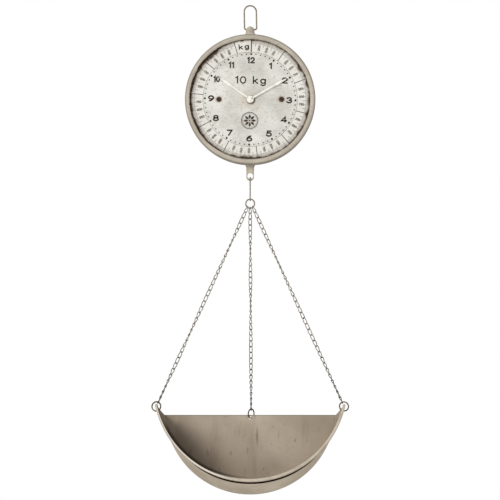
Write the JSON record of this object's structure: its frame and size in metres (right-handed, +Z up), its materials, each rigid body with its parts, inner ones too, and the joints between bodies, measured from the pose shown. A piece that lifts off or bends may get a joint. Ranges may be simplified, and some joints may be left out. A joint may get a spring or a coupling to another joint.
{
  "type": "hanging scale wall clock",
  "caption": "Battery wall clock in the shape of a hanging pan scale: round dial with two hands in a drum case on a wire loop, and a half-round pan on three chains below.",
  "frame": {"origin": "inside top of the hanging loop, where it hangs on its nail or hook", "axes": "+Z up along the clock's height, +X to the viewer's right, +Y away from the viewer, towards the wall"},
  "size_m": [0.3319, 0.1326, 0.8362],
  "materials": {
    "case_paint": "aged matt paint",
    "pan_paint": "aged matt paint",
    "dial_face": "worn matt print",
    "aged_wire": "dull and tarnished",
    "hand_paint": "satin",
    "rusty_screw": "rusty",
    "zinc_steel": "satin",
    "fixing_brass": "satin",
    "movement_plastic": "fine texture",
    "wheel_plastic": "satin",
    "coil_copper": "lacquered",
    "board_green": "semi-gloss",
    "washer_rubber": "matt",
    "battery_jacket": "gloss film"
  },
  "bodies": {
    "hanger": {"hanging_bail": "aged_wire"},
    "case": {"case_drum": "case_paint", "front_bezel": "case_paint", "dial_plate": "dial_face", "dial_screws": "rusty_screw", "dial_posts": "zinc_steel", "post_screws": "zinc_steel", "back_plate": "case_paint", "back_plate_screws": "zinc_steel", "top_lug": "case_paint", "top_lug_nut": "zinc_steel", "bottom_lug": "case_paint", "bottom_lug_nut": "zinc_steel", "movement_front_shell": "movement_plastic", "movement_rear_shell": "movement_plastic", "movement_middle_plate": "movement_plastic", "rubber_washer": "washer_rubber", "fixing_washer": "fixing_brass", "fixing_nut": "fixing_brass", "coil": "coil_copper", "stator": "zinc_steel", "circuit_board": "board_green", "quartz_crystal": "zinc_steel", "battery_spring_contact": "zinc_steel", "battery_plate_contact": "zinc_steel"},
    "minute_arbor": {"cannon_pinion": "fixing_brass", "minute_hand": "hand_paint", "hand_cap_nut": "hand_paint"},
    "motion_wheel": {"minute_wheel": "wheel_plastic"},
    "hour_arbor": {"hour_wheel": "wheel_plastic", "hour_hand": "hand_paint"},
    "knob": {"setting_knob": "movement_plastic"},
    "centre_arbor": {"centre_wheel": "wheel_plastic"},
    "third_arbor": {"third_wheel": "wheel_plastic"},
    "fourth_arbor": {"fourth_wheel": "wheel_plastic"},
    "fifth_arbor": {"fifth_wheel": "wheel_plastic"},
    "rotor_arbor": {"rotor": "zinc_steel"},
    "cell": {"battery": "battery_jacket"},
    "hook": {"load_hook": "aged_wire"},
    "load_ring_body": {"load_ring": "aged_wire"},
    "sling": {"left_ring": "aged_wire", "left_chain": "aged_wire", "right_ring": "aged_wire", "right_chain": "aged_wire", "back_ring": "aged_wire", "back_chain": "aged_wire", "pan_trough": "pan_paint", "pan_back": "pan_paint", "rim_bead": "pan_paint"}
  },
  "joints": [
    {"name": "case_swing", "type": "hinge", "parent": "hanger", "child": "case", "pos_m": [0, 0, -0.0395], "axis": [1, 0, 0], "range_deg": [-60, 60]},
    {"name": "minute_turn", "type": "hinge", "parent": "case", "child": "minute_arbor", "pos_m": [0, 0, -0.159], "axis": [0, 1, 0], "continuous": true},
    {"name": "motion_wheel_turn", "type": "hinge", "parent": "case", "child": "motion_wheel", "pos_m": [0.0072, 0, -0.159], "axis": [0, 1, 0], "continuous": true},
    {"name": "hour_turn", "type": "hinge", "parent": "case", "child": "hour_arbor", "pos_m": [0, 0, -0.159], "axis": [0, 1, 0], "continuous": true},
    {"name": "knob_turn", "type": "hinge", "parent": "case", "child": "knob", "pos_m": [0.0144, 0, -0.159], "axis": [0, 1, 0], "continuous": true},
    {"name": "fourth_turn", "type": "hinge", "parent": "case", "child": "fourth_arbor", "pos_m": [0, 0, -0.159], "axis": [0, 1, 0], "continuous": true},
    {"name": "third_turn", "type": "hinge", "parent": "case", "child": "third_arbor", "pos_m": [0, 0, -0.147], "axis": [0, 1, 0], "continuous": true},
    {"name": "centre_turn", "type": "hinge", "parent": "case", "child": "centre_arbor", "pos_m": [0, 0, -0.159], "axis": [0, 1, 0], "continuous": true},
    {"name": "fifth_turn", "type": "hinge", "parent": "case", "child": "fifth_arbor", "pos_m": [-0.0097, 0, -0.1534], "axis": [0, 1, 0], "continuous": true},
    {"name": "rotor_turn", "type": "hinge", "parent": "case", "child": "rotor_arbor", "pos_m": [-0.0169, 0, -0.1534], "axis": [0, 1, 0], "continuous": true},
    {"name": "battery_out", "type": "slide", "parent": "case", "child": "cell", "axis": [0, 1, 0], "range_m": [0, 0.03]},
    {"name": "hook_swing", "type": "hinge", "parent": "case", "child": "hook", "pos_m": [0, 0, -0.2908], "axis": [0, 1, 0], "range_deg": [-45, 45]},
    {"name": "ring_swing", "type": "hinge", "parent": "hook", "child": "load_ring_body", "pos_m": [0, 0, -0.32785], "axis": [1, 0, 0], "range_deg": [-60, 60]},
    {"name": "sling_swing", "type": "hinge", "parent": "load_ring_body", "child": "sling", "pos_m": [0, 0, -0.3354], "axis": [0, 1, 0], "range_deg": [-40, 40]}
  ],
  "couplings": [
    {"joint": "motion_wheel_turn", "follows": "minute_turn", "ratio": -0.33333},
    {"joint": "hour_turn", "follows": "minute_turn", "ratio": 0.083333},
    {"joint": "knob_turn", "follows": "minute_turn", "ratio": 1},
    {"joint": "third_turn", "follows": "fourth_turn", "ratio": -0.13333},
    {"joint": "centre_turn", "follows": "fourth_turn", "ratio": 0.016667},
    {"joint": "fifth_turn", "follows": "fourth_turn", "ratio": -6},
    {"joint": "rotor_turn", "follows": "fourth_turn", "ratio": 30}
  ]
}
